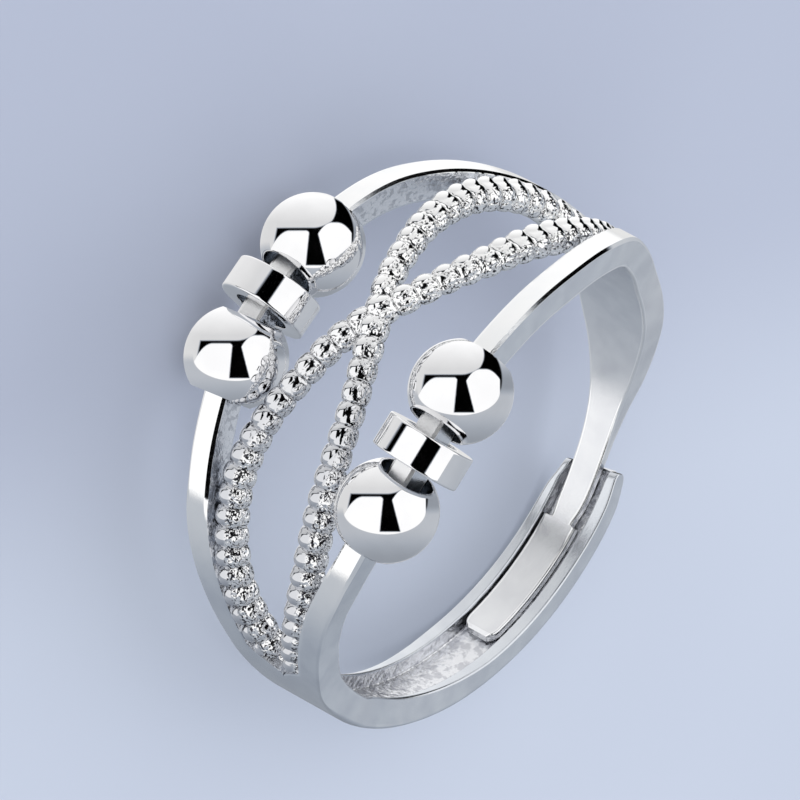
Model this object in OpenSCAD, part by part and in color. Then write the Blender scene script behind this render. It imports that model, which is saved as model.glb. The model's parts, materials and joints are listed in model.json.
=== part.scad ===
// Spinner ring: one open casting and six loose beads that turn on its two plain rails.
// The casting has the two rails, two beaded strands that cross between them, and a shank whose
// thin tongue lies in a channel, so that the size can be set. Millimetres.
//
// The ring is drawn in its own frame first: its axis is Z, its front is towards -Y, and a point
// is given by its angle round the ring (0 at the front, positive towards -X), its radius and its
// offset along the axis (the left rail has the negative offsets). Then it is laid on its side.

/* [Ring] */
// Inside diameter, the finger size
inner_d = 16.7; // [16.2:0.1:17.4]
// Thickness of rails and shank, across the finger's surface
wall = 1.1; // [1:0.05:1.3]
// Half of the width of the shank
shank_half = 1.48; // [1.4:0.02:1.6]

/* [Rails] */
// Width of a plain rail
rail_w = 0.9; // [0.7:0.02:1]
// Bevel on the edges of rails and shank
rail_bevel = 0.07; // [0.02:0.01:0.12]
// Room for the strands on each side of the middle, clear of the round beads
strand_room = 2.3; // [2.2:0.05:3]

/* [Beaded strands] */
// Angle from one bead of a strand to the next
strand_pitch = 4.75; // [4.4:0.05:5.4]
// Width of a strand
strand_w = 1.16; // [0.9:0.02:1.24]
// Height of the strand's beads
strand_h = 0.8; // [0.7:0.02:1]

/* [Loose beads] */
// Diameter of a round bead
ball_d = 3.5; // [3.2:0.05:4]
// Length of a round bead between the flats at its bore
ball_len = 2.8; // [2.4:0.05:2.85]
// Diameter of a spacer bead
washer_d = 3.15; // [2.6:0.05:3.4]
// Thickness of a spacer bead
washer_len = 1.2; // [0.8:0.05:1.6]
// Bore through every bead
bore_d = 1.93; // [1.85:0.01:2.1]
// Room between neighbouring beads, along the rail
bead_gap = 0.32; // [0.3:0.01:0.5]
// Angle of the spacer bead on the left rail
group_left = -6.9; // [-12:0.5:0]
// Angle of the spacer bead on the right rail
group_right = -20.3; // [-21:0.5:-5]

/* [Size adjustment] */
// Half of the width of the channel inside the shank
channel_half = 0.85; // [0.8:0.01:1]
// Depth of the channel
channel_depth = 0.6; // [0.5:0.01:0.64]
// Bevel on the outer edges of the channelled shank
shank_bevel = 0.16; // [0.08:0.01:0.2]
// Thickness of the tongue that lies in it
tongue_t = 0.42; // [0.3:0.01:0.5]
// Half of the width of the tongue's head
tongue_half = 0.68; // [0.5:0.01:0.7]
// Clearance round the tongue in its channel
tongue_clear = 0.05; // [0.03:0.01:0.08]
// Angle at which the channel's open end stands
channel_end = -213; // [-216:1:-205]

/* [Hidden] */
silver = [0.80, 0.81, 0.83];
ri = inner_d / 2;
ro = ri + wall;
rail_r = (ri + ro) / 2;
bead_r = rail_r - wall * 0.045; // a straight bore on a curved rail sits a little inwards
rail_spread = strand_room + ball_d / 2;
step = 5;
rib_share = 0.9; // of the pitch that a rib of a strand takes
web_share = 0.84; // of a strand's height and width that its web has
web_step = 8;
web_round = 0.4; // of the web's half width that its corners are cut by
roundness = 0.6; // of a rib's outline: 1 is an ellipse, 0 a rectangle
plain_start = -104; // angle where the shank's plain part meets the channel
bevel_run = 15; // angle over which the shank's bevel grows

// The rails' middles. Columns: angle, left and right offset as shares of rail_spread
rails = [
    [-104, -0.30, 0.21], [-95, -0.37, 0.26], [-85, -0.445, 0.36], [-76, -0.55, 0.44],
    [-66, -0.675, 0.55], [-57, -0.765, 0.68], [-45, -0.84, 0.83], [-34, -0.90, 0.94],
    [-21, -0.97, 1.01], [-8, -0.98, 1.02], [8, -0.985, 1.01], [20, -0.98, 0.98],
    [32, -0.94, 0.93], [43, -0.84, 0.84], [53, -0.72, 0.73], [65, -0.56, 0.56],
    [75, -0.42, 0.42], [85, -0.34, 0.34], [95, -0.28, 0.28]
];

// The strands' middles. Columns: angle, offset of the strand that starts at the left and of
// the one that starts at the right, as shares of strand_room, then the strands' height and
// width there as shares of strand_h and strand_w
strands = [
    [-97, -0.18, 0.15, 1.25, 1], [-84, -0.45, 0.26, 1.25, 1], [-75, -0.68, 0.40, 1.25, 1],
    [-65, -0.84, 0.52, 1.2, 1], [-55, -0.93, 0.57, 1.1, 1], [-43, -0.96, 0.56, 1, 1.02],
    [-30, -0.82, 0.49, 1, 0.87], [-19, -0.61, 0.37, 1, 0.82], [-9, -0.43, 0.15, 1, 0.86],
    [0, -0.19, -0.09, 1, 0.88], [10, 0.12, -0.39, 1, 0.83], [20, 0.36, -0.60, 1, 0.87],
    [28, 0.51, -0.74, 1.05, 0.95], [38, 0.60, -0.82, 1.18, 1], [48, 0.66, -0.83, 1.25, 1],
    [58, 0.65, -0.77, 1.25, 1], [68, 0.55, -0.64, 1.25, 1], [80, 0.33, -0.38, 1.25, 1],
    [90, 0.17, -0.17, 1.25, 1]
];

// The shank below the strands, with the channel. Columns: angle, half width and sideways
// shift as shares of shank_half, thickness as a share of wall, depth of the channel as a share
// of channel_depth, flat width of the rims beside the channel as a share of their whole width
lower_shank = [
    [channel_end, 0.745, 0.10, 0.60, 0.8, 1], [channel_end + 8, 0.865, 0.055, 0.72, 0.92, 1],
    [-190, 0.89, 0.027, 0.78, 1, 1], [-160, 0.92, 0, 0.80, 1, 1],
    [-150, 0.93, -0.01, 0.83, 1, 0.8], [-135, 0.94, -0.02, 0.87, 1, 0.42],
    [-120, 0.98, -0.045, 0.93, 1, 0.15], [-110, 1.013, -0.068, 0.98, 1, 0.5],
    [-98, 1.13, -0.12, 1, 1, 1], [-88, 1.35, -0.14, 1, 1, 1]
];

// The shank above the strands, down to the neck. Columns: angle, half width and sideways
// shift as shares of shank_half, how far it has thinned from the wall to the tongue
upper_shank = [
    [80, 1.15, 0, 0], [90, 1.08, 0, 0], [100, 1.03, -0.01, 0], [108, 0.95, -0.03, 0],
    [116, 0.78, -0.04, 0.1], [124, 0.61, -0.05, 0.3], [132, 0.46, -0.07, 0.6],
    [140, 0.39, -0.07, 0.85], [149, 0.37, -0.08, 1]
];

// The neck and the head. Columns: angle, half width as a share of tongue_half
tongue = [
    [149, 0.81], [157, 0.77], [161, 0.63], [162, 1], [190, 1], [193, 0.86], [194, 0.66], [194.5, 0.45]
];
// The head lies against the left side of its channel
tongue_shift = tongue_half + tongue_clear - channel_half;
neck_shift = tongue_shift * 0.6;

// Half of the angle that a round bead and a spacer bead take, with the room between them
bead_turn = ((ball_len + washer_len) / 2 + bead_gap) / bead_r * 180 / PI;

// A smooth curve through the rows of a table: x in column 0, value in column c
function rise(t, c, i) = i == 0 || i == len(t) - 1 ? 0
    : (t[i + 1][c] - t[i - 1][c]) / (t[i + 1][0] - t[i - 1][0]);
function row(t, x, i = 0) = i >= len(t) - 2 || x < t[i + 1][0] ? i : row(t, x, i + 1);
function curve(t, c, x) =
    let (i = row(t, x), h = t[i + 1][0] - t[i][0], u = max(0, min(1, (x - t[i][0]) / h)))
    t[i][c] * (1 + 2 * u) * pow(1 - u, 2) + t[i + 1][c] * u * u * (3 - 2 * u)
    + h * u * (1 - u) * (rise(t, c, i) * (1 - u) - rise(t, c, i + 1) * u);
// The same table read with straight lines between its rows
function line(t, c, x) =
    let (i = row(t, x), u = max(0, min(1, (x - t[i][0]) / (t[i + 1][0] - t[i][0]))))
    t[i][c] * (1 - u) + t[i + 1][c] * u;
function rail_offset(side, a) = rail_spread * curve(rails, side, a);
function strand_offset(side, a) = strand_room * curve(strands, side, a);
// Angle between the path at two offsets 2 degrees apart and the ring's circle
function lean(before, after) = atan2(after - before, rail_r * 2 * PI / 180);
function rail_lean(side, a) = lean(rail_offset(side, a - 1), rail_offset(side, a + 1));
function strand_lean(side, a) = lean(strand_offset(side, a - 1), strand_offset(side, a + 1));

// Radius of the channel's floor, and the inside of the tongue that follows it
function floor_r(a) = ri + channel_depth * curve(lower_shank, 4, a);
function tongue_ri(a) = floor_r(a - 360) - tongue_clear - tongue_t;

function ring_point(angle, radius, offset) =
    [-radius * sin(angle), -radius * cos(angle), offset];

// Solid through sections, each one a list of points in order
module sweep(sections) {
    n = len(sections[0]);
    m = len(sections);
    polyhedron(
        points = [for (s = sections) for (p = s) p],
        faces = concat(
            [[for (i = [0 : n - 1]) i]],
            [for (k = [0 : m - 2]) for (i = [0 : n - 1])
                [k * n + (i + 1) % n, k * n + i, (k + 1) * n + i, (k + 1) * n + (i + 1) % n]],
            [[for (i = [n - 1 : -1 : 0]) (m - 1) * n + i]]
        ),
        convexity = 6
    );
}

// Bevelled rectangle across the ring at one angle
function bar_section(angle, r1, r2, w1, w2, b) = [
    ring_point(angle, r1, w1 + b), ring_point(angle, r1 + b, w1),
    ring_point(angle, r2 - b, w1), ring_point(angle, r2, w1 + b),
    ring_point(angle, r2, w2 - b), ring_point(angle, r2 - b, w2),
    ring_point(angle, r1 + b, w2), ring_point(angle, r1, w2 - b)
];

module rail(side) {
    first = rails[0][0];
    last = rails[len(rails) - 1][0];
    count = round((last - first) / step);
    sweep([for (k = [0 : count])
        let (a = first + (last - first) * k / count, w = rail_offset(side, a),
             half = rail_w / 2 / cos(rail_lean(side, a)))
        bar_section(a, ri, ro, w - half, w + half, rail_bevel)]);
}

// Children at an angle and offset on the ring, with their X along the path that leans so far
module on_ring(angle, radius, offset, lean_angle) {
    rotate([0, 0, -angle]) translate([0, -radius, offset]) rotate([0, lean_angle, 0]) children();
}

// One strand: a rounded rib at each pitch, and a web that joins them
module strand(side) {
    first = strands[0][0];
    last = strands[len(strands) - 1][0];
    count = floor((last - first) / strand_pitch);
    for (k = [0 : count]) {
        a = first + k * strand_pitch;
        on_ring(a, ri, strand_offset(side, a), strand_lean(side, a))
            strand_bead(strand_h * curve(strands, 3, a), strand_w * curve(strands, 4, a));
    }
    steps = round((last - first) / web_step);
    sweep([for (k = [0 : steps])
        let (a = first + (last - first) * k / steps, w = strand_offset(side, a),
             half = strand_w / 2 * curve(strands, 4, a) / cos(strand_lean(side, a)) * web_share,
             top = ri + strand_h * curve(strands, 3, a) * web_share, cut = half * web_round)
        [
            ring_point(a, ri, w - half), ring_point(a, top - cut, w - half),
            ring_point(a, top, w - half + cut), ring_point(a, top, w + half - cut),
            ring_point(a, top - cut, w + half), ring_point(a, ri, w + half)
        ]]);
}

// Stands on the inside of the ring, with its crest outwards along -Y
module strand_bead(height, width) {
    length = rib_share * strand_pitch * PI / 180 * rail_r;
    hull() {
        rib(length, height * web_share, width * web_share);
        rib(length / 2, height, width);
    }
}

// Half of a rounded rectangle across the strand, drawn out along X
module rib(length, height, width) {
    rotate([180, -90, 0]) linear_extrude(length, center = true)
        polygon([for (t = [0 : 30 : 180])
            [width / 2 * sign(cos(t)) * pow(abs(cos(t)), roundness), height * pow(sin(t), roundness)]]);
}

// One section of the shank below the strands: where the rims are narrow inside, the sides lean
function shank_edges(a) =
    let (h = shank_half * curve(lower_shank, 1, a), s = shank_half * curve(lower_shank, 2, a),
         flat = curve(lower_shank, 5, a), rim_1 = h - s - rail_bevel - channel_half,
         rim_2 = h + s - rail_bevel - channel_half)
    [s - h, -channel_half - rim_1 * flat, channel_half + rim_2 * flat, s + h];
function shank_section(a) =
    let (e = shank_edges(a), r = ri + wall * curve(lower_shank, 3, a), b = rail_bevel,
         c = channel_half, f = floor_r(a),
         t = b + (shank_bevel - b) * min(1, (plain_start - a) / bevel_run))
    [
        ring_point(a, ri, e[1]), ring_point(a, ri + b, e[1] - b), ring_point(a, r - t, e[0]),
        ring_point(a, r, e[0] + t), ring_point(a, r, e[3] - t), ring_point(a, r - t, e[3]),
        ring_point(a, ri + b, e[2] + b), ring_point(a, ri, e[2]), ring_point(a, ri, c),
        ring_point(a, f, c), ring_point(a, f, -c), ring_point(a, ri, -c)
    ];
shank_count = round((plain_start - channel_end) / step);
shank_sections = [for (k = [0 : shank_count])
    shank_section(channel_end + (plain_start + 1 - channel_end) * k / shank_count)];

// The shank below the strands: plain at first, then a channel open towards the finger
module shank_below() {
    sweep([for (a = [plain_start : step : plain_start + 3 * step])
        let (e = shank_edges(a)) bar_section(a, ri, ro, e[0], e[3], rail_bevel)]);
    sweep(shank_sections);
}

// The shank above the strands, which thins to a neck and the tongue's rounded head
module shank_above() {
    sweep(concat(
        [for (a = [80, 85, 90, 95, 100, 104, 108, 112, 116, 120, 124, 128, 132, 136, 140, 145])
            let (h = shank_half * line(upper_shank, 1, a), s = shank_half * line(upper_shank, 2, a),
                 u = line(upper_shank, 3, a), r = ri * (1 - u) + tongue_ri(a) * u)
            bar_section(a, r, r + wall * (1 - u) + tongue_t * u, s - h, s + h, rail_bevel)],
        [for (a = [149, 153, 157, 161, 162, 167, 172, 177, 182, 186, 190, 192, 193, 194, 194.5])
            let (h = tongue_half * line(tongue, 1, a), s = a < tongue[3][0] ? neck_shift : tongue_shift)
            bar_section(a, tongue_ri(a), tongue_ri(a) + tongue_t, s - h, s + h, rail_bevel)]
    ));
}

module ring_frame_as_worn() {
    rail(1);
    rail(2);
    strand(1);
    strand(2);
    shank_below();
    shank_above();
}

// Bore along Z, flats where it comes out
module ball() {
    difference() {
        intersection() {
            sphere(d = ball_d, $fn = 96);
            cylinder(d = ball_d + 1, h = ball_len, center = true, $fn = 96);
        }
        cylinder(d = bore_d, h = ball_d, center = true, $fn = 96);
    }
}

module washer() {
    edge = washer_len * 0.05;
    difference() {
        rotate_extrude($fn = 96) polygon([
            [0, -washer_len / 2], [washer_d / 2 - edge, -washer_len / 2],
            [washer_d / 2, -washer_len / 2 + edge], [washer_d / 2, washer_len / 2 - edge],
            [washer_d / 2 - edge, washer_len / 2], [0, washer_len / 2]
        ]);
        cylinder(d = bore_d, h = washer_len + 1, center = true, $fn = 96);
    }
}

// A bead on a rail, its bore along it
module threaded(side, angle) {
    on_ring(angle, bead_r, rail_offset(side, angle), rail_lean(side, angle))
        rotate([0, 90, 0]) children();
}

// The resting plane touches the two left balls and the far edge of the shank. Its upward
// direction is square to the line between the balls' middles, so one angle is left to find:
// the one at which the balls and the shank's edge are equally low.
shank_points = [for (section = shank_sections) each section];
function unit(v) = v / norm(v);
function ball_middle(side, angle) = ring_point(angle, bead_r, rail_offset(side, angle));
ball_1 = ball_middle(1, group_left + bead_turn);
ball_2 = ball_middle(1, group_left - bead_turn);
chord = unit(ball_2 - ball_1);
upright = unit([0, 0, 1] - chord * chord[2]);
forward = cross(chord, upright);
steepest = 40; // the angle is looked for between 0 and this
function up_at(a) = upright * cos(a) + forward * sin(a);
function ball_low(n) = n * ball_1 - ball_d / 2;
function edge_low(n) = min([for (p = shank_points) n * p]);
function rest_angle(low, high, turns = 40) =
    let (mid = (low + high) / 2)
    turns == 0 ? mid
    : ball_low(up_at(mid)) < edge_low(up_at(mid)) ? rest_angle(mid, high, turns - 1)
    : rest_angle(low, mid, turns - 1);
up = up_at(rest_angle(0, steepest));
across = unit([1, 0, 0] - up * up[0]);
back = cross(up, across);
// The middle of the laid ring's outline, from the left balls to the back of the shank
front_most = min(back * ball_1, back * ball_2) - ball_d / 2;
back_most = max([for (p = shank_points) back * p]);
centre_y = (front_most + back_most) / 2;

module laid() {
    multmatrix([
        [across[0], across[1], across[2], 0],
        [back[0], back[1], back[2], -centre_y],
        [up[0], up[1], up[2], -ball_low(up)],
        [0, 0, 0, 1]
    ]) children();
}

module ring_frame() { color(silver) laid() ring_frame_as_worn(); }
module ball_upper_left() { color(silver) laid() threaded(1, group_left + bead_turn) ball(); }
module washer_left() { color(silver) laid() threaded(1, group_left) washer(); }
module ball_lower_left() { color(silver) laid() threaded(1, group_left - bead_turn) ball(); }
module ball_upper_right() { color(silver) laid() threaded(2, group_right + bead_turn) ball(); }
module washer_right() { color(silver) laid() threaded(2, group_right) washer(); }
module ball_lower_right() { color(silver) laid() threaded(2, group_right - bead_turn) ball(); }

ring_frame();
ball_upper_left();
washer_left();
ball_lower_left();
ball_upper_right();
washer_right();
ball_lower_right();
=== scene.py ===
# Looks of the spinner ring: polished and satin silver, two beaded strands, six loose beads.
# Sizes are millimetres here and become metres where a mesh is made. Angles are degrees round the
# ring from the middle of its front, and offsets run along its axis, negative on the left.
import json
import math

import bpy
import numpy as np
from mathutils import Matrix


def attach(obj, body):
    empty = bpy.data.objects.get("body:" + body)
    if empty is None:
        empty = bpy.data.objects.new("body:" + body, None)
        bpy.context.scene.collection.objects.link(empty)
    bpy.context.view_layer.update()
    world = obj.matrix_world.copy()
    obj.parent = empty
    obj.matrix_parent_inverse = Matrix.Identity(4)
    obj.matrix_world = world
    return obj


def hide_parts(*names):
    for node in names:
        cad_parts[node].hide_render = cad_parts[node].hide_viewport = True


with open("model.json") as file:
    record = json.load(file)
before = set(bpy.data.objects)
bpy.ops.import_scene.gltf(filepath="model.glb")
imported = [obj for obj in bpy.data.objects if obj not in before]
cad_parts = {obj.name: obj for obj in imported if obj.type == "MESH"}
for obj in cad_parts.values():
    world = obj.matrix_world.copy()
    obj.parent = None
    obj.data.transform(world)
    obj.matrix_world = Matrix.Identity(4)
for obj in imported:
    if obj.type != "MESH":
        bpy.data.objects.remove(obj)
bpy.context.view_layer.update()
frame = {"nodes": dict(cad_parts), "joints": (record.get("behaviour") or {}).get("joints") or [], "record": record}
print("frame loaded:", ", ".join(sorted(frame["nodes"])))

mm = 0.001

ring = {
    "innerDiameter": 16.7,
    "wall": 1.1,
    "shankHalf": 1.48,  # half of the shank's width
    "edgeRound": 0.05,
    "chamferWidth": 0.11,  # of the rails' outer edges, across
    # angle round the ring, degrees that the chamfer falls
    "chamferAngles": [
        (-213, 8), (-62, 8), (-55, 14), (-50, 38), (-46, 41), (-30, 36), (-15, 30), (2, 28.5),
        (12, 29.5), (20, 31), (60, 33), (195, 33),
    ],
    "satinAndShade": (-56, -72),  # angles where the mirror polish starts and ends turning to a rougher satin, whose darker colour is a painted reflection of the dark parts nearby
    "paintedSheen": (60, 105),  # and where the satin starts and ends turning brighter with painted sheen
}
innerRadius = ring["innerDiameter"] / 2
outerRadius = innerRadius + ring["wall"]
railRadius = (innerRadius + outerRadius) / 2

# the ring's own axes: Z through the finger hole, -Y to the middle of the front
fingerHole = next(m for m in frame["record"]["mounts"] if m["name"] == "finger_hole")
ringCentre = np.array(fingerHole["pos_m"]) / mm
axisZ = np.array(fingerHole["axis"])
axisX = np.array([axisZ[2], 0.0, -axisZ[0]])
axisX /= np.linalg.norm(axisX)
axisY = np.cross(axisZ, axisX)
toWorld = np.stack([axisX, axisY, axisZ])


def ringPoint(angle, radius, offset):
    # Point at radius (-sin, -cos) of the angle across the ring's axis, and at offset along it
    turn = np.radians(angle)
    local = np.stack([-radius * np.sin(turn), -radius * np.cos(turn), offset + 0 * turn], -1)
    return ringCentre + local @ toWorld


def smoothStep(low, high, value):
    # 0 at low, 1 at high and level beyond them, 3uu - 2uuu between
    u = np.clip((value - low) / (high - low), 0, 1)
    return u * u * (3 - 2 * u)


def curveThrough(rows, column, x):
    # Cubic through the rows, its slope at a row that of the line between the rows beside it
    t = np.array(rows, float)
    xs, ys = t[:, 0], t[:, column]
    slope = np.zeros(len(xs))
    slope[1:-1] = (ys[2:] - ys[:-2]) / (xs[2:] - xs[:-2])
    i = np.clip(np.searchsorted(xs, x, side="right") - 1, 0, len(xs) - 2)
    h = xs[i + 1] - xs[i]
    u = np.clip((x - xs[i]) / h, 0, 1)
    rise = h * u * (1 - u) * (slope[i] * (1 - u) - slope[i + 1] * u)
    return ys[i] * (1 + 2 * u) * (1 - u) ** 2 + ys[i + 1] * u * u * (3 - 2 * u) + rise


def fill(tree, node, given):
    # Sockets by name or number: another node's socket is linked, anything else is typed in
    for name, value in given.items():
        if isinstance(value, bpy.types.NodeSocket):
            tree.links.new(value, node.inputs[name])
        else:
            node.inputs[name].default_value = value


def newNode(tree, kind, given=None, **values):
    node = tree.nodes.new(kind)
    for name, value in values.items():
        setattr(node, name, value)
    fill(tree, node, given or {})
    return node


def mathNode(tree, operation, first, second=0.0, third=0.0):
    given = {0: first, 1: second, 2: third}
    return newNode(tree, "ShaderNodeMath", given, operation=operation).outputs[0]


def rangeNode(tree, value, low, high, toLow=0.0, toHigh=1.0, kind="SMOOTHSTEP"):
    given = {"Value": value, "From Min": low, "From Max": high, "To Min": toLow, "To Max": toHigh}
    node = newNode(tree, "ShaderNodeMapRange", given, interpolation_type=kind, clamp=True)
    return node.outputs["Result"]


def noiseNode(tree, vector, scale, detail=2.0, roughness=0.5):
    given = {"Vector": vector, "Scale": scale, "Detail": detail, "Roughness": roughness}
    return newNode(tree, "ShaderNodeTexNoise", given).outputs["Fac"]


def mixColours(tree, share, first, second):
    # From first to second, each a colour or a socket
    first, second = ((*c, 1) if isinstance(c, tuple) else c for c in (first, second))
    given = {"Factor": share, "A": first, "B": second}
    return newNode(tree, "ShaderNodeMix", given, data_type="RGBA").outputs["Result"]


def bumpNode(tree, height, distance, strength):
    given = {"Height": height, "Distance": distance, "Strength": strength}
    return newNode(tree, "ShaderNodeBump", given).outputs["Normal"]


def attributeNode(tree, label):
    return newNode(tree, "ShaderNodeAttribute", attribute_name=label).outputs["Fac"]


def newGroup(name, inputs, outputs):
    # A vector and the numbers in inputs go in, and the numbers in outputs come out
    group = bpy.data.node_groups.new(name, "ShaderNodeTree")
    group.interface.new_socket("Vector", in_out="INPUT", socket_type="NodeSocketVector")
    for way, labels in (("INPUT", inputs), ("OUTPUT", outputs)):
        for label in labels:
            group.interface.new_socket(label, in_out=way, socket_type="NodeSocketFloat")
    return group, newNode(group, "NodeGroupInput").outputs, newNode(group, "NodeGroupOutput")


polishMarks = {
    "grain": 900.0,  # slow patches to the metre
    "finer": 6.0,  # how many times finer the scratches are
    "stretch": (1.0, 1.0, 9.0),
    "turn": (0.5, 0.3, 0.6),
    "roughLevels": (0.3, 0.7),  # noise at which the silver is at its smoothest and roughest
    "shadeLevels": (0.25, 0.75),  # and at its dullest and brightest
    "depth": 0.00001,  # in metres, as all depths of a bump are
}
castMarks = {
    "smoothness": 0.6,  # of the grains
    "lumpScale": 0.45,  # of the grains' scale
    "pits": 0.40,  # level of the lumps below which the silver is pitted
    "pitEdge": 0.12,
    "depth": 0.00003,
}


def makeHandPolish():
    # Faint long scratches and slow dulling, as a polishing wheel leaves on silver
    inputs, outputs = ["Grain", "Low", "High"], ["Roughness", "Shade", "Height"]
    group, given, out = newGroup("handPolish", inputs, outputs)
    stretch = {
        "Vector": given["Vector"],
        "Scale": polishMarks["stretch"],
        "Rotation": polishMarks["turn"],
    }
    stretched = newNode(group, "ShaderNodeMapping", stretch).outputs["Vector"]
    slow = noiseNode(group, given["Vector"], given["Grain"], 2.0)
    fineScale = mathNode(group, "MULTIPLY", given["Grain"], polishMarks["finer"])
    fine = noiseNode(group, stretched, fineScale, 3.0, 0.6)
    both = mathNode(group, "MULTIPLY_ADD", fine, 0.5, mathNode(group, "MULTIPLY", slow, 0.5))
    rough = rangeNode(group, both, *polishMarks["roughLevels"], given["Low"], given["High"])
    shade = rangeNode(group, slow, *polishMarks["shadeLevels"])
    fill(group, out, {"Roughness": rough, "Shade": shade, "Height": fine})
    return group


def makeCastGrain():
    # Sandy skin of a casting: grains, and the small pits between them
    group, given, out = newGroup("castGrain", ["Grain", "Pits"], ["Height", "Pitted"])
    cell = {
        "Vector": given["Vector"],
        "Scale": given["Grain"],
        "Smoothness": castMarks["smoothness"],
    }
    cells = newNode(group, "ShaderNodeTexVoronoi", cell, feature="SMOOTH_F1")
    grains = mathNode(group, "SUBTRACT", 1.0, cells.outputs["Distance"])
    lumpScale = mathNode(group, "MULTIPLY", given["Grain"], castMarks["lumpScale"])
    lumps = noiseNode(group, given["Vector"], lumpScale, 3.0, 0.6)
    height = mathNode(group, "MULTIPLY_ADD", grains, 0.5, lumps)
    edge = mathNode(group, "ADD", given["Pits"], castMarks["pitEdge"])
    pitted = rangeNode(group, lumps, given["Pits"], edge, 1.0, 0.0)
    fill(group, out, {"Height": height, "Pitted": pitted})
    return group


handPolish = makeHandPolish()
castGrain = makeCastGrain()


def newMaterial(name, roughness):
    # Bare metal, and the Object coordinates that its patterns read
    material = bpy.data.materials.new(name)
    material.use_nodes = True
    tree = material.node_tree
    tree.nodes.clear()
    shader = newNode(tree, "ShaderNodeBsdfPrincipled", {"Metallic": 1.0, "Roughness": roughness})
    newNode(tree, "ShaderNodeOutputMaterial", {"Surface": shader.outputs["BSDF"]})
    return material, tree, shader, newNode(tree, "ShaderNodeTexCoord").outputs["Object"]


def polishNode(tree, place, low, high):
    given = {"Vector": place, "Grain": polishMarks["grain"], "Low": low, "High": high}
    return newNode(tree, "ShaderNodeGroup", given, node_tree=handPolish).outputs


def layPolish(tree, shader, polish, colour, scratches):
    # Colour, roughness and scratches of a polished finish
    bump = bumpNode(tree, polish["Height"], polishMarks["depth"], scratches)
    fill(tree, shader, {"Base Color": colour, "Roughness": polish["Roughness"], "Normal": bump})


def makePolishedSilver(name, finish, scratches):
    # One finish all over, a little duller in slow patches
    material, tree, shader, place = newMaterial(name, finish["rough"][0])
    polish = polishNode(tree, place, *finish["rough"])
    colour = mixColours(tree, polish["Shade"], finish["dull"], finish["bright"])
    layPolish(tree, shader, polish, colour, scratches)
    return material


def makeTwoFinishSilver(name, label, first, second, scratches):
    # Goes from the first finish to the second where the attribute with this label rises to 1
    material, tree, shader, place = newMaterial(name, first["rough"][0])
    share = attributeNode(tree, label)
    levels = zip(first["rough"], second["rough"])
    low, high = (rangeNode(tree, share, 0.0, 1.0, *level) for level in levels)
    polish = polishNode(tree, place, low, high)
    before, after = (
        mixColours(tree, polish["Shade"], finish["dull"], finish["bright"])
        for finish in (first, second)
    )
    layPolish(tree, shader, polish, mixColours(tree, share, before, after), scratches)
    return material


def makeCastSilver(name, skin):
    # Tumbled casting skin: bright grains with dark pits
    material, tree, shader, place = newMaterial(name, skin["roughness"])
    given = {"Vector": place, "Grain": skin["grain"], "Pits": castMarks["pits"]}
    cast = newNode(tree, "ShaderNodeGroup", given, node_tree=castGrain).outputs
    colour = mixColours(tree, cast["Pitted"], skin["colour"], skin["pit"])
    bump = bumpNode(tree, cast["Height"], castMarks["depth"], 1.0)
    fill(tree, shader, {"Base Color": colour, "Normal": bump})
    return material


finishes = {
    # bright and dull colour, lowest and highest roughness
    "mirror": {"bright": (0.93, 0.93, 0.94), "dull": (0.88, 0.88, 0.89), "rough": (0.02, 0.05)},
    "rail": {"bright": (0.98, 0.98, 0.98), "dull": (0.93, 0.94, 0.95), "rough": (0.04, 0.10)},
    "drawn": {"bright": (0.98, 0.98, 0.98), "dull": (0.93, 0.93, 0.94), "rough": (0.28, 0.40)},
    "satin": {"bright": (0.76, 0.79, 0.83), "dull": (0.67, 0.70, 0.75), "rough": (0.15, 0.24)},
    # painted sheen: a brighter satin standing in for the extra light on the shank's sides high up
    "paintedSheen": {"bright": (0.86, 0.87, 0.89), "dull": (0.76, 0.77, 0.80), "rough": (0.16, 0.26)},
}
skins = {
    # colour of the grains and of the pits, and grains to the metre
    "band": {
        "colour": (0.78, 0.80, 0.84), "pit": (0.55, 0.57, 0.61), "roughness": 0.24, "grain": 9000.0,
    },
    "channel": {
        "colour": (0.86, 0.87, 0.90), "pit": (0.62, 0.63, 0.67), "roughness": 0.27, "grain": 6000.0,
    },
}
mirrorSilver = makePolishedSilver("mirrorSilver", finishes["mirror"], 0.02)
# low on the shank the rails turn rougher, and darker: the darkening is a painted reflection of the dark parts
# nearby
railSilver = makeTwoFinishSilver("railSilver", "satinAndShade", finishes["rail"], finishes["satin"], 0.1)
drawnSilver = makePolishedSilver("drawnSilver", finishes["drawn"], 0.5)
# high on the shank the satin turns a little rougher, and brighter with painted sheen
satinSilver = makeTwoFinishSilver("satinSilver", "paintedSheen", finishes["satin"], finishes["paintedSheen"], 0.3)
castSkin = makeCastSilver("castSkin", skins["band"])
channelSkin = makeCastSilver("channelSkin", skins["channel"])
print("materials made")


sections = {
    "arcPoints": 5,
    "support": 0.03,  # beside a corner, where a point keeps the flat's shading flat
    "mostRound": 0.45,  # share of a side that a corner's round may take
    "mostSupported": 0.48,  # and with the support beside it
    "sharp": 27,  # degrees from which an edge is shaded sharp
}


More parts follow.
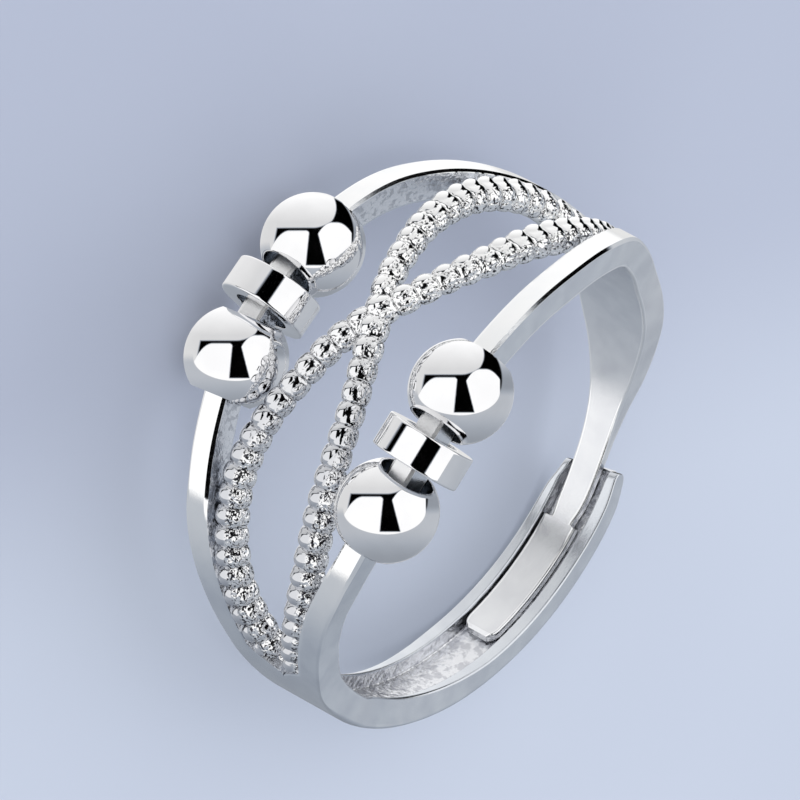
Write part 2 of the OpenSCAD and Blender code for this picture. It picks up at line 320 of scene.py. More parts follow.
def makeMesh(name, points, faces, materials, faceMaterials=None):
    # Points in millimetres, faces as rows of their indices
    mesh = bpy.data.meshes.new(name)
    mesh.vertices.add(len(points))
    mesh.vertices.foreach_set("co", (points * mm).astype(np.float32).ravel())
    sizes = np.array([len(f) for f in faces], np.int32)
    starts = np.concatenate([[0], np.cumsum(sizes)[:-1]])
    mesh.loops.add(int(sizes.sum()))
    mesh.loops.foreach_set("vertex_index", np.concatenate(faces).astype(np.int32))
    mesh.polygons.add(len(faces))
    mesh.polygons.foreach_set("loop_start", starts.astype(np.int32))
    for material in materials:
        mesh.materials.append(material)
    if faceMaterials is not None:
        mesh.polygons.foreach_set("material_index", np.asarray(faceMaterials, np.int32))
    mesh.update(calc_edges=True)
    mesh.validate()
    mesh.shade_smooth()
    mesh.set_sharp_from_angle(angle=math.radians(sections["sharp"]))
    piece = bpy.data.objects.new(name, mesh)
    bpy.context.scene.collection.objects.link(piece)
    return piece


def giveAttribute(piece, label, values):
    # One number for each vertex, which a material reads by its label
    layer = piece.data.attributes.new(label, "FLOAT", "POINT")
    layer.data.foreach_set("value", values.ravel().astype(np.float32))


def gridFaces(rows, columns, closeRows=False, flip=False, start=0):
    # Quads between neighbours of a grid whose columns run round and close
    lines = rows if closeRows else rows - 1
    r, c = np.meshgrid(np.arange(lines), np.arange(columns), indexing="ij")
    r2, c2 = (r + 1) % rows, (c + 1) % columns
    corners = [r * columns + c, r * columns + c2, r2 * columns + c2, r2 * columns + c]
    quads = np.stack(corners, -1).reshape(-1, 4) + start
    return quads[:, ::-1] if flip else quads


def roundedSection(corners, rounds, chamfers, falls):
    # Each corner P with edges along e1 and e2 becomes the arc
    # P + r e1 (1 - sin t) + r e2 (1 - cos t), or a straight chamfer where chamfers is 1, with one
    # more point on either side that keeps the flats' shading flat
    before = np.roll(corners, 1, axis=1) - corners
    after = np.roll(corners, -1, axis=1) - corners
    reach = np.minimum(np.linalg.norm(before, axis=2), np.linalg.norm(after, axis=2))
    e1 = before / np.maximum(np.linalg.norm(before, axis=2, keepdims=True), 1e-9)
    e2 = after / np.maximum(np.linalg.norm(after, axis=2, keepdims=True), 1e-9)
    support = sections["support"]
    r = np.minimum(rounds, reach * sections["mostRound"])[..., None]
    s = np.minimum(support, reach * sections["mostSupported"] - r[..., 0]).clip(0)[..., None]
    t = np.linspace(0, math.pi / 2, sections["arcPoints"])
    arc = corners[:, :, None] + (r * e1)[:, :, None] * (1 - np.sin(t))[:, None]
    arc = arc + (r * e2)[:, :, None] * (1 - np.cos(t))[:, None]
    first = corners + (r + s) * e1
    last = corners + (r + s) * e2
    # the chamfer runs across the top by chamferWidth and falls down the side by falls
    fall = falls[:, None, None]
    down = np.abs(e1[..., :1]) > np.abs(e2[..., :1])
    cut1 = np.where(down, fall, ring["chamferWidth"])
    cut2 = np.where(down, ring["chamferWidth"], fall)
    share = np.linspace(0, 1, sections["arcPoints"])[:, None]
    straight = (corners + cut1 * e1)[:, :, None] * (1 - share)
    straight = straight + (corners + cut2 * e2)[:, :, None] * share
    c = chamfers[..., None]
    arc = arc * (1 - c[..., None]) + straight * c[..., None]
    first = first * (1 - c) + (corners + (cut1 + support) * e1) * c
    last = last * (1 - c) + (corners + (cut2 + support) * e2) * c
    section = np.concatenate([first[:, :, None], arc, last[:, :, None]], axis=2)
    return section.reshape(len(corners), -1, 2)


rails = {
    "width": 0.9,
    "spread": 4.05,  # the rails' offset where they are furthest apart
    "beaded": [(-31, 17), (-45, 3)],  # left and right, the stretch under the beads, left as drawn
    # angle, left and right middle as shares of spread
    "middles": [
        (-104, -0.30, 0.21), (-95, -0.37, 0.26), (-85, -0.445, 0.36), (-76, -0.55, 0.44),
        (-66, -0.675, 0.55), (-57, -0.765, 0.68), (-45, -0.84, 0.83), (-34, -0.90, 0.94),
        (-21, -0.97, 1.01), (-8, -0.98, 1.02), (8, -0.985, 1.01), (20, -0.98, 0.98),
        (32, -0.94, 0.93), (43, -0.84, 0.84), (53, -0.72, 0.73), (65, -0.56, 0.56),
        (75, -0.42, 0.42), (85, -0.34, 0.34), (95, -0.28, 0.28),
    ],
}

shank = {
    # pairs of angles where a change starts and is complete
    "lowJoin": (-88, -104),  # the rails' outer edges become the lower shank's
    "lowClosing": (-85.5, -91.5),  # their inner edges meet
    "highJoin": (80, 97),
    "highClosing": (76, 93),
    "lowRounding": (-88, -108),  # chamfered edges become round ones
    "highRounding": (95, 125),
    "channelRamp": (-103.5, -106.5),  # the channel reaches its depth
    "rimEasing": (-104, -119),  # the rims beside it may narrow
    "endSlanting": (-196, -213),  # the slant of its end comes in
    "fullWall": -98,  # angle beyond which the lower shank may be thinner than the wall
    "channelEnd": -213,
    "channelHalf": 0.85,
    "channelDepth": 0.6,
    "wallLean": 0.02,  # of the channel's walls, outwards
    "floorRound": 0.10,
    "rimRound": 0.06,
    "leastRim": 0.25,  # beside the channel
    "leastFlat": 0.04,  # of a rim whose side leans
    "leastHalf": 0.1,  # of the channel
    "cornerRound": 0.19,
    "insideRound": 1.6,  # of the edges against the finger, in edgeRounds
    "endSlant": 1.15,  # degrees that the channel's end comes forward for each mm to the left
    "endRun": 0.35,  # length over which its end is rounded
    "endLoss": 0.28,  # and how much thinner that makes it outside, half of that inside
    # angle, half width and sideways shift as shares of ring.shankHalf, thickness as a share of
    # ring.wall, depth as a share of channelDepth, flat part of the rims beside the channel
    "lower": [
        (-213, 0.745, 0.10, 0.60, 0.8, 1), (-205, 0.865, 0.055, 0.72, 0.92, 1),
        (-190, 0.89, 0.027, 0.78, 1, 1), (-160, 0.92, 0, 0.80, 1, 1),
        (-150, 0.93, -0.01, 0.83, 1, 0.8), (-135, 0.94, -0.02, 0.87, 1, 0.42),
        (-120, 0.98, -0.045, 0.93, 1, 0.15), (-110, 1.013, -0.068, 0.98, 1, 0.5),
        (-98, 1.13, -0.12, 1, 1, 1), (-88, 1.35, -0.14, 1, 1, 1),
    ],
    # angle, half width, shift, and how far it has thinned from the wall to the tongue
    "upper": [
        (80, 1.15, 0, 0), (90, 1.08, 0, 0), (100, 1.03, -0.01, 0), (108, 0.95, -0.03, 0),
        (116, 0.78, -0.04, 0.1), (124, 0.61, -0.05, 0.3), (132, 0.46, -0.07, 0.6),
        (140, 0.39, -0.07, 0.85), (149, 0.373, -0.05, 1), (157, 0.352, -0.05, 1),
        (161, 0.30, -0.05, 1),
    ],
}

tongue = {
    "thickness": 0.42,
    "half": 0.68,
    "clearance": 0.05,
    "shoulder": 161.6,  # angle where the head starts
    "tip": 194.5,
    "tipRun": 0.5,  # length of the rounded tip
    "tipLoss": 0.32,  # how much nearer its sides come there
    "tipBevel": 0.12,  # how much thinner its last degree gets inside
    "tipBevelOutside": 0.3,  # share of that outside
}
tongueShift = tongue["half"] + tongue["clearance"] - shank["channelHalf"]


def channelFloor(angle):
    # Depth of the channel's floor below the inside of the ring
    return shank["channelDepth"] * curveThrough(shank["lower"], 4, angle)


def railMiddle(side, angle):
    # Offset of the left (1) or the right (2) rail's middle
    return rails["spread"] * curveThrough(rails["middles"], side, angle)


def leanOf(offset, angle):
    # Angle between a path on the ring and the ring's circle, in radians
    return np.arctan2(offset(angle + 1) - offset(angle - 1), railRadius * math.radians(2))


def lowClosing(angle):
    # 0 where the rails stand apart, 1 where they have become the lower shank
    return smoothStep(*shank["lowClosing"], angle)


def highClosing(angle):
    # 0 where the rails stand apart, 1 where they have become the upper shank
    return smoothStep(*shank["highClosing"], angle)


def endBend(away, run):
    # Quarter circle that falls from 1 at an end to 0 at run from it: 1 - root of 1 - (1 - u)^2,
    # where u is the distance from the end over run
    u = np.clip(away * math.pi / 180 * railRadius / run, 0, 1)
    return 1 - np.sqrt(1 - (1 - u) ** 2)


def bandEdges(side, angle):
    # Inner and outer edge of one side of the ring: a rail in front, half of the shank behind
    sign = -1 if side == 1 else 1
    railAngle = np.clip(angle, rails["middles"][0][0], rails["middles"][-1][0])
    middle = railMiddle(side, railAngle)
    half = rails["width"] / 2 / np.cos(leanOf(lambda a: railMiddle(side, a), railAngle))
    lowHalf = ring["shankHalf"] * curveThrough(shank["lower"], 1, angle)
    lowShift = ring["shankHalf"] * curveThrough(shank["lower"], 2, angle)
    upHalf = ring["shankHalf"] * curveThrough(shank["upper"], 1, angle)
    upShift = ring["shankHalf"] * curveThrough(shank["upper"], 2, angle)
    head = angle > tongue["shoulder"]
    tipLoss = tongue["tipLoss"] * endBend(tongue["tip"] - angle, tongue["tipRun"])
    upHalf = np.where(head, tongue["half"] - tipLoss, upHalf)
    upShift = np.where(head, tongueShift, upShift)
    outer, inner = middle + sign * half, middle - sign * half
    low = smoothStep(*shank["lowJoin"], angle)
    outer = outer * (1 - low) + (lowShift + sign * lowHalf) * low
    inner = inner * (1 - lowClosing(angle))
    high = smoothStep(*shank["highJoin"], angle)
    outer = outer * (1 - high) + (upShift + sign * upHalf) * high
    inner = inner * (1 - highClosing(angle)) + upShift * highClosing(angle)
    return inner, outer


def bandAngles():
    # Spans as start, end and step: closer together where the section changes fast
    spans = [
        (-213, -209, 0.15), (-209, -108, 1), (-108, -103, 0.25), (-103, -93, 0.6), (-93, -84, 0.3),
        (-84, -80, 0.6), (-80, 75, 1), (75, 100, 0.6), (100, 160, 1), (160, 161, 0.5),
        (161, 161.6, 0.2), (161.62, 162.4, 0.13), (162.4, 189, 1), (189, 194.51, 0.2),
    ]
    return np.unique(np.round(np.concatenate([np.arange(*span) for span in spans]), 3))


def bandRadii(angles):
    # Inside and outside radius: the wall in front, thinner to both ends of the shank
    thin = np.interp(angles, [r[0] for r in shank["upper"]], [r[3] for r in shank["upper"]])
    thin = smoothStep(0, 1, thin) * 0.5 + thin * 0.5
    tongueOutside = innerRadius + channelFloor(angles - 360) - tongue["clearance"]
    lowWall = np.where(angles < shank["fullWall"], curveThrough(shank["lower"], 3, angles), 1)
    outside = innerRadius + ring["wall"] * lowWall
    endRound = shank["endLoss"] * endBend(angles - shank["channelEnd"], shank["endRun"])
    tipRound = tongue["tipBevel"] * smoothStep(tongue["tip"] - 1, tongue["tip"], angles)
    r1 = innerRadius * (1 - thin) + (tongueOutside - tongue["thickness"]) * thin + tipRound
    r2 = (outside - endRound) * (1 - thin) + tongueOutside * thin
    return r1 + 0.5 * endRound, r2 - tipRound * tongue["tipBevelOutside"]


bandMaterials = [railSilver, satinSilver, castSkin, channelSkin, drawnSilver]
isRail, isSatin, isSkin, isChannel, isDrawn = range(len(bandMaterials))


def bandKinds(columns, channelled, beaded):
    # Material of each quad by its place in the section. The section has as many points for each
    # of its six corners, and the faces after a corner's last point belong to the flat behind it
    perCorner = columns // 6
    corner = np.arange(columns) // perCorner
    flat = np.arange(columns) % perCorner == perCorner - 1
    floor, wall, rim, outside, top, inside = range(6)
    kind = np.select(
        [
            (corner == floor) | (corner == wall),
            (corner == rim) | (corner == outside) & flat,
            (corner == outside) | (corner == top) | (corner == inside) & ~flat,
        ],
        [isChannel, isSatin, isRail],
        isSkin,
    )
    plain = np.where(kind == isChannel, isSatin, kind)
    rows = np.where(channelled[:-1, None], kind[None, :], plain[None, :])
    rows = np.where(beaded[:-1, None] & (rows == isRail), isDrawn, rows)
    return rows.ravel()


def makeBand():
    # Both sides of the casting, each one a rounded section carried round the ring
    angles = bandAngles()
    none = 0 * angles
    r1, r2 = bandRadii(angles)
    depth = channelFloor(angles) * smoothStep(*shank["channelRamp"], angles)
    channelled = depth > 0
    apart = smoothStep(0, 0.1, 1 - lowClosing(angles) - highClosing(angles))
    behind = np.maximum(
        smoothStep(*shank["lowRounding"], angles), smoothStep(*shank["highRounding"], angles)
    )
    rimFlat = curveThrough(shank["lower"], 5, angles)
    rimFlat = 1 - (1 - rimFlat) * smoothStep(*shank["rimEasing"], angles)
    edge = ring["edgeRound"] + none
    rounds = [
        edge * apart,
        np.where(channelled, shank["floorRound"], none),
        np.where(channelled, shank["rimRound"], none),
        edge * shank["insideRound"],
        edge * (1 - behind) + shank["cornerRound"] * behind,
        edge * apart,
    ]
    chamfers = [none, none, none, none, 1 - behind, (1 - behind) * apart]
    falls = ring["chamferWidth"] * np.tan(
        np.radians(curveThrough(ring["chamferAngles"], 1, angles))
    )
    slant = smoothStep(*shank["endSlanting"], angles) * shank["endSlant"]
    points, faces, kinds, start = [], [], [], 0
    for side in (1, 2):
        sign = -1 if side == 1 else 1
        inner, outer = bandEdges(side, angles)
        halfRoom = np.maximum(np.abs(outer) - shank["leastRim"], shank["leastHalf"])
        wall = sign * np.minimum(shank["channelHalf"], halfRoom)
        wall = np.where(channelled, wall, inner + 0.5 * (outer - inner))
        rimStart = wall + sign * shank["leastFlat"]
        rim = rimStart + (outer - rimStart) * rimFlat
        corners = [
            [r1 + depth, inner],
            [r1 + depth, wall],
            [r1, wall + sign * shank["wallLean"] * channelled],
            [r1, np.where(channelled, rim, outer)],
            [r2, outer],
            [r2, inner],
        ]
        corners = np.stack([np.stack(corner, -1) for corner in corners], 1)
        section = roundedSection(corners, np.stack(rounds, 1), np.stack(chamfers, 1), falls)
        rows, columns = section.shape[:2]
        turned = angles[:, None] - slant[:, None] * section[..., 1]
        grid = ringPoint(turned, section[..., 0], section[..., 1])
        points.append(grid.reshape(-1, 3))
        faces += list(gridFaces(rows, columns, flip=(sign > 0), start=start))
        first, last = rails["beaded"][side - 1]
        kinds.append(bandKinds(columns, channelled, (angles > first) & (angles < last)))
        firstCap = np.arange(columns) + start
        lastCap = firstCap + (rows - 1) * columns
        faces += [firstCap[::-1], lastCap] if sign < 0 else [firstCap, lastCap[::-1]]
        kinds.append([isSatin, isSatin])
        start += rows * columns
    points, kinds = np.concatenate(points), np.concatenate(kinds)
    piece = makeMesh("castBand", points, faces, bandMaterials, kinds)
    # both attributes carry painted light: a painted dark reflection low on the rails, a painted sheen high on the
    # shank
    for label in ("satinAndShade", "paintedSheen"):
        share = np.repeat(smoothStep(*ring[label], angles), columns)
        giveAttribute(piece, label, np.tile(share, 2))
    return piece


castBand = makeBand()
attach(castBand, "frame")
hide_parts("ring_frame")
print("rails, shank and tongue made")


strand = {
    "room": 2.3,  # the strands' offset where they are furthest apart
    "pitch": 4.75,  # degrees from rib to rib
    "width": 1.16,
    "height": 0.8,
    "rows": 20,  # to a pitch
    "around": 72,
    "axisShare": 0.42,  # of the height, where the section's middle is
    "boxiness": 2.7,  # power of the ribs' outline: 2 is an ellipse
    # angle, and the same power on the outer quarter towards +w, which falls off more evenly
    "slopes": [(-97, 1.8), (-60, 1.7), (-20, 1.5), (25, 1.6), (50, 2.2), (90, 2.6)],
    "groove": 0.27,  # share of a rib's size that is lost between two ribs
    # two smooth domes on each rib, in shares of its half width and of its height over the middle:
    # sideways place, height of the top, and half width; then half height and half length in mm,
    # and how smooth the dome is
    "domes": [(-0.26, 1.15, 0.56, 0.26, 0.345, 1.0), (0.60, 0.82, 0.30, 0.16, 0.22, 0.7)],
    # angle, middles of the two strands as shares of room, height and width as shares
    "middles": [
        (-97, -0.18, 0.15, 1.25, 1), (-84, -0.45, 0.26, 1.25, 1), (-75, -0.68, 0.40, 1.25, 1),
        (-65, -0.84, 0.52, 1.2, 1), (-55, -0.93, 0.57, 1.1, 1), (-43, -0.96, 0.56, 1, 1.02),
        (-30, -0.82, 0.49, 1, 0.87), (-19, -0.61, 0.37, 1, 0.82), (-9, -0.43, 0.15, 1, 0.86),
        (0, -0.19, -0.09, 1, 0.88), (10, 0.12, -0.39, 1, 0.83), (20, 0.36, -0.60, 1, 0.87),
        (28, 0.51, -0.74, 1.05, 0.95), (38, 0.60, -0.82, 1.18, 1), (48, 0.66, -0.83, 1.25, 1),
        (58, 0.65, -0.77, 1.25, 1), (68, 0.55, -0.64, 1.25, 1), (80, 0.33, -0.38, 1.25, 1),
        (90, 0.17, -0.17, 1.25, 1),
    ],
}
strandSand = {
    # places across a rib are shares of its half width, positive towards +w
    "flank": (0.45, 0.75),  # where the sand starts and is full
    "lowFlank": (-0.05, 0.35),  # the same on the low ribs
    "low": (-22, -42),  # angles over which the ribs become low ones
    "lowDomes": (-0.05, 0.25),  # where a dome of a low rib starts and ends losing its polish
    "everywhere": 0.08,
    "crossing": 0.3,  # more of it where the strands cross
    "crossingAngles": (-26, -12, 22, 38),
    "specks": 0.7,  # how far past 1 it goes on the low ribs, where the dark specks of painted pit shade crowd
    "speckPlace": 0.22,
    "speckSpread": 0.2,
    "dull": (12, -42),  # angles over which the silver gets duller
    "whiter": 0.8,  # how much less dull the sand of the low ribs is
}
strandFinish = {
    "bright": (0.98, 0.98, 0.98),
    "dull": (0.64, 0.65, 0.68),
    # painted shade: the near-black colour of the specks stands in for the shade inside the crinkles' pits
    "pitShade": (0.06, 0.06, 0.07),
    "speckScale": 11000.0,
    "speckLevel": (0.27, 0.16),  # noise under the first plus the second times sand is a speck of painted shade
    "speckEdge": 0.06,
    "speckSand": (0.05, 0.5),  # sand where the specks start to show and show fully
    "crinkleScale": 6500.0,
    "crinkleDepth": 0.00007,
    "rough": (0.05, 0.12),
}


def makeStrandSilver():
    # Polished on the domes, crinkled with dark specks of painted shade on the flanks, duller low down on the ring
    look = strandFinish
    material, tree, shader, place = newMaterial("strandSilver", look["rough"][0])
    sand = attributeNode(tree, "sand")
    base, more = look["speckLevel"]
    edge = mathNode(tree, "MULTIPLY_ADD", mathNode(tree, "MAXIMUM", sand, 1.0), more, base)
    full = mathNode(tree, "SUBTRACT", edge, look["speckEdge"])
    # the specks are painted shade: near-black spots where the crinkled flanks' pits would lie in shade
    specks = rangeNode(tree, noiseNode(tree, place, look["speckScale"], 1.0), edge, full)
    specks = mathNode(tree, "MULTIPLY", specks, rangeNode(tree, sand, *look["speckSand"]))
    silver = mixColours(tree, attributeNode(tree, "dull"), look["bright"], look["dull"])
    colour = mixColours(tree, specks, silver, look["pitShade"])
    rough = rangeNode(tree, sand, 0.0, 1.0, *look["rough"])
    crinkles = mathNode(tree, "MULTIPLY", noiseNode(tree, place, look["crinkleScale"], 0.6), sand)
    bump = bumpNode(tree, crinkles, look["crinkleDepth"], 1.0)
    fill(tree, shader, {"Base Color": colour, "Roughness": rough, "Normal": bump})
    return material


def strandMiddle(side, angle):
    # Offset of the middle of the strand that starts at the left (1) or at the right (2)
    return strand["room"] * curveThrough(strand["middles"], side, angle)


def ribReach(around, along, half, above, below, slope):
    # Superellipse round the section's middle: ((sin/half)^n + (cos/above)^n)^(-1/n), smaller
    # towards the groove by groove (1 - root of 1 - along^2)
    sloping = (np.sin(around) > 0) & (np.cos(around) > 0)
    n = np.where(sloping, slope, strand["boxiness"])
    upright = np.where(np.cos(around) > 0, above, below)
    inverse = (np.abs(np.sin(around)) / half) ** n + (np.abs(np.cos(around)) / upright) ** n
    loss = strand["groove"] * (1 - np.sqrt(np.maximum(1 - along**2, 0)))
    return inverse ** (-1 / n) * (1 - loss)


def domeReach(around, along, middle, size):
    # Outer crossing of a ray from the section's middle with an ellipsoid
    left = 1 - (along / size[2]) ** 2
    sine, cosine = np.sin(around), np.cos(around)
    a = (sine / size[0]) ** 2 + (cosine / size[1]) ** 2
    b = -2 * (middle[0] * sine / size[0] ** 2 + middle[1] * cosine / size[1] ** 2)
    c = (middle[0] / size[0]) ** 2 + (middle[1] / size[1]) ** 2 - left
    inside = b**2 - 4 * a * c
    reach = (-b + np.sqrt(np.maximum(inside, 0))) / (2 * a)
    return np.where((inside > 0) & (left > 0), reach, 0)


def sandAndDull(angles, across, smooth):
    # Sand is 0 on the domes and 1 on the flank towards +w, which is wider on the low ribs, and
    # more where the dark specks of painted shade crowd. Dull goes from 0 at the top to 1 low down on the ring
    fromLow, crossLow, crossHigh, fromHigh = strandSand["crossingAngles"]
    crossing = smoothStep(fromLow, crossLow, angles) * smoothStep(fromHigh, crossHigh, angles)
    low = smoothStep(*strandSand["low"], angles)[:, None]
    start, full = (
        usual + (wider - usual) * low
        for usual, wider in zip(strandSand["flank"], strandSand["lowFlank"])
    )
    smooth = smooth * (1 - low * smoothStep(*strandSand["lowDomes"], across))
    least = strandSand["everywhere"] + strandSand["crossing"] * crossing[:, None]
    sand = np.maximum(smoothStep(start, full, across), least) * (1 - smooth)
    fromSpecks = (across - strandSand["speckPlace"]) / strandSand["speckSpread"]
    sand = sand * (1 + strandSand["specks"] * low * np.exp(-(fromSpecks**2)))
    dull = smoothStep(*strandSand["dull"], angles)[:, None]
    return sand, dull * (1 - strandSand["whiter"] * low * np.minimum(sand, 1))


def makeStrand(name, side):
    # A section of changing reach carried along the strand's path on the ring
    first, last = strand["middles"][0][0], strand["middles"][-1][0]
    count = int((last - first) / strand["pitch"])
    angles = np.linspace(first, first + count * strand["pitch"], count * strand["rows"] + 1)
    around = np.linspace(-math.pi, math.pi, strand["around"], endpoint=False)[None, :]
    phase = ((angles - first) / strand["pitch"])[:, None]
    fromCrest = phase - np.round(phase)
    pitchLength = math.radians(strand["pitch"]) * railRadius
    height = strand["height"] * curveThrough(strand["middles"], 3, angles)[:, None]
    half = strand["width"] / 2 * curveThrough(strand["middles"], 4, angles)[:, None]
    below = strand["axisShare"] * height
    above = height - below
    slope = np.interp(angles, *np.transpose(strand["slopes"]))[:, None]
    reach = ribReach(around, 2 * fromCrest, half, above, below, slope)
    smooth = 0 * reach
    for place, top, width, upright, length, smoothness in strand["domes"]:
        domeMiddle = (place * half, top * above - upright)
        domeSize = (width * half, upright, length)
        dome = domeReach(around, fromCrest * pitchLength, domeMiddle, domeSize)
        smooth = np.where(dome > reach, smoothness, smooth)
        reach = np.maximum(reach, dome)
    radius = innerRadius + np.maximum(below + reach * np.cos(around), 0.0)
    sideways = reach * np.sin(around)
    lean = leanOf(lambda a: strandMiddle(side, a), angles)[:, None]
    offset = strandMiddle(side, angles)[:, None] + sideways * np.cos(lean)
    turn = np.degrees(-sideways * np.sin(lean) / radius)
    grid = ringPoint(angles[:, None] + turn, radius, offset)
    rows, columns = grid.shape[:2]
    cap = np.arange(columns)
    faces = list(gridFaces(rows, columns)) + [cap[::-1], cap + (rows - 1) * columns]
    piece = makeMesh(name, grid.reshape(-1, 3), faces, [strandSilver])
    sand, dull = sandAndDull(angles, sideways / half, smooth)
    giveAttribute(piece, "sand", sand)
    giveAttribute(piece, "dull", dull)
    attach(piece, "frame")
    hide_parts("ring_frame")


strandSilver = makeStrandSilver()
makeStrand("strandFromLeft", 1)
makeStrand("strandFromRight", 2)
print("strands made")


beads = {
    "ballDiameter": 3.5,
    "ballLength": 2.8,
    "washerDiameter": 3.15,
    "washerLength": 1.2,
    "bore": 1.93,
    "lip": 0.03,  # rounding at the bore's ends
    "washerEdge": 0.06,
    "around": 128,
    "lipPoints": 4,
    "edgePoints": 5,
    "ballPoints": 40,
}


def boreProfile(half):
    # From the middle of the bore out to its end, radius and height along the bore
    t = np.linspace(0, math.pi / 2, beads["lipPoints"])
    r, lip = beads["bore"] / 2, beads["lip"]
    radii = np.concatenate([[r, r], r + lip * (1 - np.cos(t))])
    heights = np.concatenate([[0, half - lip - sections["support"]], half - lip + lip * np.sin(t)])
    return np.stack([radii, heights], -1)


def ballProfile():
    # The bore, then an arc of the ball from its flat end to its middle
    half, radius = beads["ballLength"] / 2, beads["ballDiameter"] / 2
    t = np.linspace(math.acos(half / radius), math.pi / 2, beads["ballPoints"])
    outside = np.stack([radius * np.sin(t), radius * np.cos(t)], -1)
    return np.concatenate([boreProfile(half), outside])


def washerProfile():
    # The bore, then the flat end, a rounded edge and the straight side to its middle
    half, radius = beads["washerLength"] / 2, beads["washerDiameter"] / 2
    edge, support = beads["washerEdge"], sections["support"]
    t = np.linspace(0, math.pi / 2, beads["edgePoints"])
    rim = np.stack([radius - edge + edge * np.sin(t), half - edge + edge * np.cos(t)], -1)
    end = np.array([[radius - edge - support, half]])
    side = np.array([[radius, half - edge - support], [radius, 0.0]])
    return np.concatenate([boreProfile(half), end, rim, side])


def makeBead(node, profile):
    # A half profile is mirrored over the bead's middle and spun round its bore
    joint = next(j for j in frame["joints"] if j["child"] == node)
    middle, along = np.array(joint["pos_m"]) / mm, np.array(joint["axis"])
    whole = np.concatenate([profile, (profile * [1, -1])[::-1][1:-1]])
    up = np.cross(along, axisZ)
    up /= np.linalg.norm(up)
    out = np.cross(along, up)
    turn = np.linspace(0, 2 * math.pi, beads["around"], endpoint=False)
    spoke = np.cos(turn)[:, None] * up + np.sin(turn)[:, None] * out
    grid = middle + whole[None, :, :1] * spoke[:, None, :] + whole[None, :, 1:] * along
    rows, columns = grid.shape[:2]
    faces = list(gridFaces(rows, columns, closeRows=True))
    # the bore, at both ends of the profile, is left satin
    column = np.arange(len(faces)) % columns
    bored = (column == 0) | (column == columns - 1)
    materials = [mirrorSilver, satinSilver]
    piece = makeMesh(node + "_polished", grid.reshape(-1, 3), faces, materials, bored)
    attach(piece, node)
    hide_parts(node)


for name in ("ball_upper_left", "ball_lower_left", "ball_upper_right", "ball_lower_right"):
    makeBead(name, ballProfile())
for name in ("washer_left", "washer_right"):
    makeBead(name, washerProfile())
print("beads made")


camera = {
    # the picture's directions in the ring's own frame: to the right and up
    "right": (-0.599, 0.269, 0.754),
    "up": (-0.750, -0.518, -0.411),
    "distance": 469.28,
    "aside": (-1.736, 1.985),
    "focal": 14036,  # in pixels
    "frame": 800,  # width of the picture in pixels
    "sensor": 36,
    "clip": (0.05, 5),  # in metres
}


def makeCamera():
    # The right direction is kept and the up direction is made square to it
    right = np.array(camera["right"]) @ toWorld
    right /= np.linalg.norm(right)
    up = np.array(camera["up"]) @ toWorld
    up = up - right * (up @ right)
    up /= np.linalg.norm(up)
    towards = np.cross(right, up)
    place = ringCentre + towards * camera["distance"]
    place = place + right * camera["aside"][0] + up * camera["aside"][1]
    data = bpy.data.cameras.new("camera")
    data.sensor_width = camera["sensor"]
    data.lens = camera["focal"] / camera["frame"] * data.sensor_width
    data.clip_start, data.clip_end = camera["clip"]
    viewer = bpy.data.objects.new("camera", data)
    turned = np.eye(4)
    turned[:3, :3] = np.stack([right, up, towards], 1)
    turned[:3, 3] = place * mm
    viewer.matrix_world = Matrix(turned.tolist())
    bpy.context.scene.collection.objects.link(viewer)
    bpy.context.scene.camera = viewer
    return right, up, towards


studio = {
    "panel": 1.1,  # brightness of the two white panels
    "ceiling": (0.76, 1.1),  # low and overhead
    "table": (0.376, 0.5875),  # near the viewer and beyond
    "leftWall": 0.78,
    "rightWall": (0.38, 0.80),  # low and high
    "tint": (0.82, 0.89, 1.0),
    "tinted": (0.45, 0.8),  # brightness from which the tint fades and where it is gone
    "light": 0.93,  # of the soft light from everywhere
    "lightColour": (0.95, 0.97, 1.0),
    "lamp": 1.5,  # of the large lamp behind on the right, which casts the soft shadow
    "lampEdge": (0.80, 0.98),  # cosines from its middle of its outer and inner edge
    "lampPlace": (0.45, 1.2, 0.8),  # to the right, away from the viewer and up
}
# Where a ball in front of the viewer mirrors these, as shares of its radius, u to the right and
# v up on its face. A pair is a place and its change with v, or as its note says
mirrored = {
    "soft": 0.018,  # half of a soft edge
    "oval": (0.81, 0.73, 0.44),  # the panels' outer edge: reach to the left, right and down
    "ovalEdge": (1.03, 0.97),  # shares of it where the panels start and are full
    # top of a panel, then where it starts to fall at its left and right end and how fast, with
    # the square of the distance
    "leftPanel": (0.265, (-0.44, -2.6), (-0.13, -10.0)),
    "rightPanel": (0.42, (0.36, -3.2), (0.46, -2.6)),
    "gapMiddle": (0.03, -0.08),  # of the dark gap between the panels
    "gapHalf": (0.125, -0.18),
    "gapBottom": -0.39,
    "ceilingBottom": 0.32,
    "ceilingEnd": (0.435, 0.69, -1.3),  # furthest u, its v, and the fall with the square
    "overhead": (0.42, 0.92),  # v where the ceiling starts and ends brightening
    "table": (-1.0, -0.3),  # v where the table starts and ends brightening
    "tableTop": (0.1, -0.1),  # v where it starts to show and shows fully
    "leftWall": (-0.74, 0.2),
    "leftWallSoft": 0.02,
    "rightWall": (0.0, 0.8, 0.74, 0.97),  # from v to v its edge's radius goes from and to
    "rightWallLight": (0.2, 0.8),  # v where it starts and ends brightening
}


def vectorNode(tree, operation, given):
    return newNode(tree, "ShaderNodeVectorMath", given, operation=operation).outputs


def unitNode(tree, vector):
    return vectorNode(tree, "NORMALIZE", {0: vector})["Vector"]


def dotNode(tree, vector, direction):
    return vectorNode(tree, "DOT_PRODUCT", {0: vector, 1: direction})["Value"]


def curveNode(tree, value, centre, factor, base):
    # base + factor (value - centre)^2
    away = mathNode(tree, "SUBTRACT", value, centre)
    return mathNode(tree, "MULTIPLY_ADD", mathNode(tree, "MULTIPLY", away, away), factor, base)


